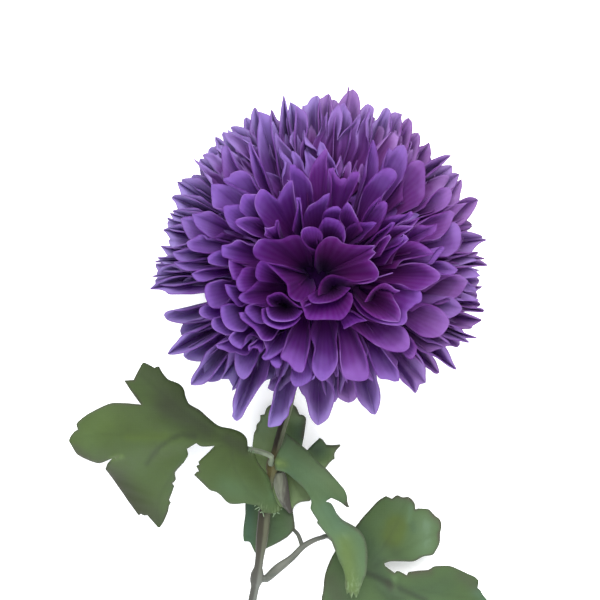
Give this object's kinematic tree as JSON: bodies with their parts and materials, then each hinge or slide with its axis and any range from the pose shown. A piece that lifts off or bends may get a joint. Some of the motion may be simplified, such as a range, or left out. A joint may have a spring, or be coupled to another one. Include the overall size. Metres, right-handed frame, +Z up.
{
  "type": "cut chrysanthemum stem",
  "caption": "Ball-shaped violet chrysanthemum bloom on a cut stem with lobed leaves and a leafy side shoot, lying face up on a table.",
  "frame": {"origin": "on the table plane, under the middle of the flower's bounding box", "axes": "+Y from the cut end of the stem to the bloom, +Z up, out of the bloom's face"},
  "size_m": [0.1826, 0.3133, 0.1048],
  "materials": {
    "petals": "matt violet petal cloth, nearly black violet at the roots and lavender at the tips",
    "calyx": "matt green",
    "stem": "grey green with fine lengthwise ribs",
    "leaves": "matt mid green with soft veins"
  },
  "bodies": {
    "root": {"bloom": "petals", "calyx": "calyx", "stem": "stem", "side_shoot": "stem", "leaf_left": "leaves", "leaf_right": "leaves", "leaf_back": "leaves", "shoot_leaf_small": "leaves", "shoot_leaf_large": "leaves"}
  },
  "joints": []
}
